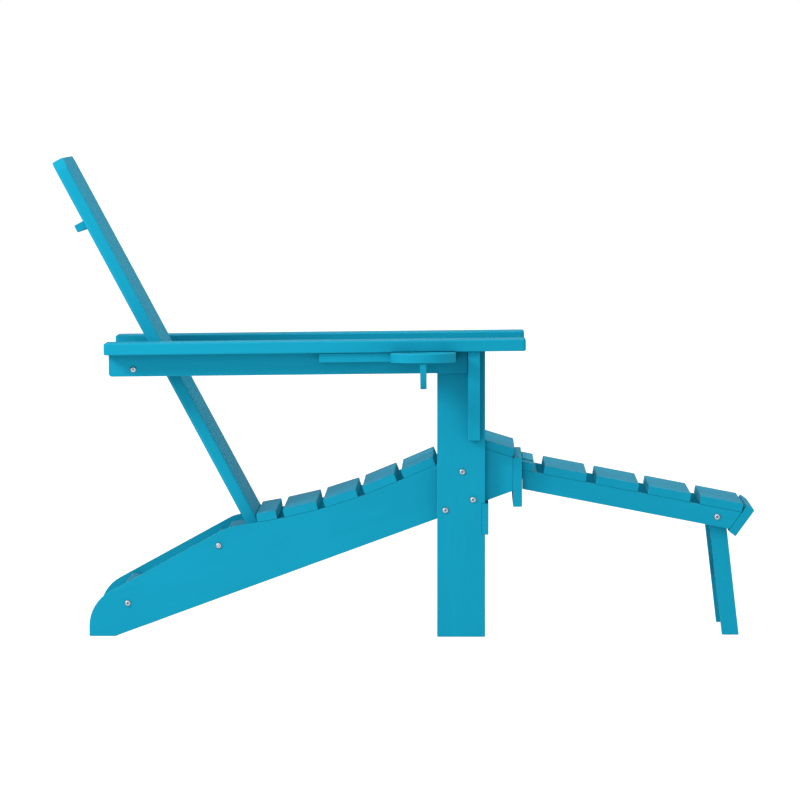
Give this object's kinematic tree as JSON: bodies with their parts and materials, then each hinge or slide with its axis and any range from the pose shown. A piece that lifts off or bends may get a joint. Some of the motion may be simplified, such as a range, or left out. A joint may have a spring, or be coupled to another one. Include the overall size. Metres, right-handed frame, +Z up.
{
  "type": "adirondack chair",
  "caption": "Adirondack chair of plastic lumber boards with a raked slatted back, wide flat arms, a ringed cup holder and a folding-leg footrest.",
  "frame": {"origin": "on the floor under the middle of the bounding box", "axes": "+X is the way the sitter looks, +Y is the sitter's left, +Z is up"},
  "size_m": [1.3072, 0.8604, 0.8886],
  "materials": {
    "frame_boards": "blue plastic lumber with a faint extruded grain",
    "seat_boards": "blue plastic lumber with a faint extruded grain",
    "back_boards": "blue plastic lumber with a faint extruded grain",
    "arm_boards": "blue plastic lumber with a faint extruded grain",
    "footrest_boards": "blue plastic lumber with a faint extruded grain",
    "hinge_paint": "powder coat in the boards' blue",
    "steel_hardware": "stainless steel"
  },
  "bodies": {
    "chair": {"apron_bolt_left": "steel_hardware", "apron_bolt_right": "steel_hardware", "arm_apron_left": "arm_boards", "arm_apron_right": "arm_boards", "arm_bracket_left": "arm_boards", "arm_bracket_right": "arm_boards", "armrest_left": "arm_boards", "armrest_right": "arm_boards", "back_batten": "frame_boards", "back_cross_rail": "frame_boards", "back_foot_board": "frame_boards", "back_slat_1": "back_boards", "back_slat_2": "back_boards", "back_slat_3": "back_boards", "back_slat_4": "back_boards", "back_slat_5": "back_boards", "cup_board": "arm_boards", "cup_cradle": "arm_boards", "front_board": "frame_boards", "front_leg_left": "frame_boards", "front_leg_right": "frame_boards", "front_stretcher": "frame_boards", "heel_board": "frame_boards", "heel_bolt_left": "steel_hardware", "heel_bolt_right": "steel_hardware", "hinge_fixed_leaf": "hinge_paint", "leg_bolt_left_1": "steel_hardware", "leg_bolt_left_2": "steel_hardware", "leg_bolt_left_3": "steel_hardware", "leg_bolt_right_1": "steel_hardware", "leg_bolt_right_2": "steel_hardware", "leg_bolt_right_3": "steel_hardware", "rear_board": "frame_boards", "rear_board_bolt_left": "steel_hardware", "rear_board_bolt_right": "steel_hardware", "seat_rail_left": "frame_boards", "seat_rail_right": "frame_boards", "seat_slat_1": "seat_boards", "seat_slat_2": "seat_boards", "seat_slat_3": "seat_boards", "seat_slat_4": "seat_boards", "seat_slat_5": "seat_boards", "seat_slat_6": "seat_boards", "seat_slat_7": "seat_boards"},
    "footrest": {"footrest_cross_board": "footrest_boards", "footrest_end_board": "footrest_boards", "footrest_pivot_left": "steel_hardware", "footrest_pivot_right": "steel_hardware", "footrest_rail_left": "footrest_boards", "footrest_rail_right": "footrest_boards", "footrest_slat_1": "footrest_boards", "footrest_slat_2": "footrest_boards", "footrest_slat_3": "footrest_boards", "footrest_slat_4": "footrest_boards", "footrest_slat_5": "footrest_boards", "hinge_moving_leaf": "hinge_paint"},
    "footrest_legs": {"footrest_leg_left": "footrest_boards", "footrest_leg_right": "footrest_boards", "footrest_leg_bar": "footrest_boards"}
  },
  "joints": [
    {"name": "footrest_lift", "type": "hinge", "parent": "chair", "child": "footrest", "pos_m": [0.22498, 0.0552, 0.3231], "axis": [0, -1, 0], "range_deg": [0, 40]},
    {"name": "footrest_leg_fold", "type": "hinge", "parent": "footrest", "child": "footrest_legs", "pos_m": [0.58414, 0.0552, 0.22053], "axis": [0, 1, 0], "range_deg": [0, 105]}
  ]
}
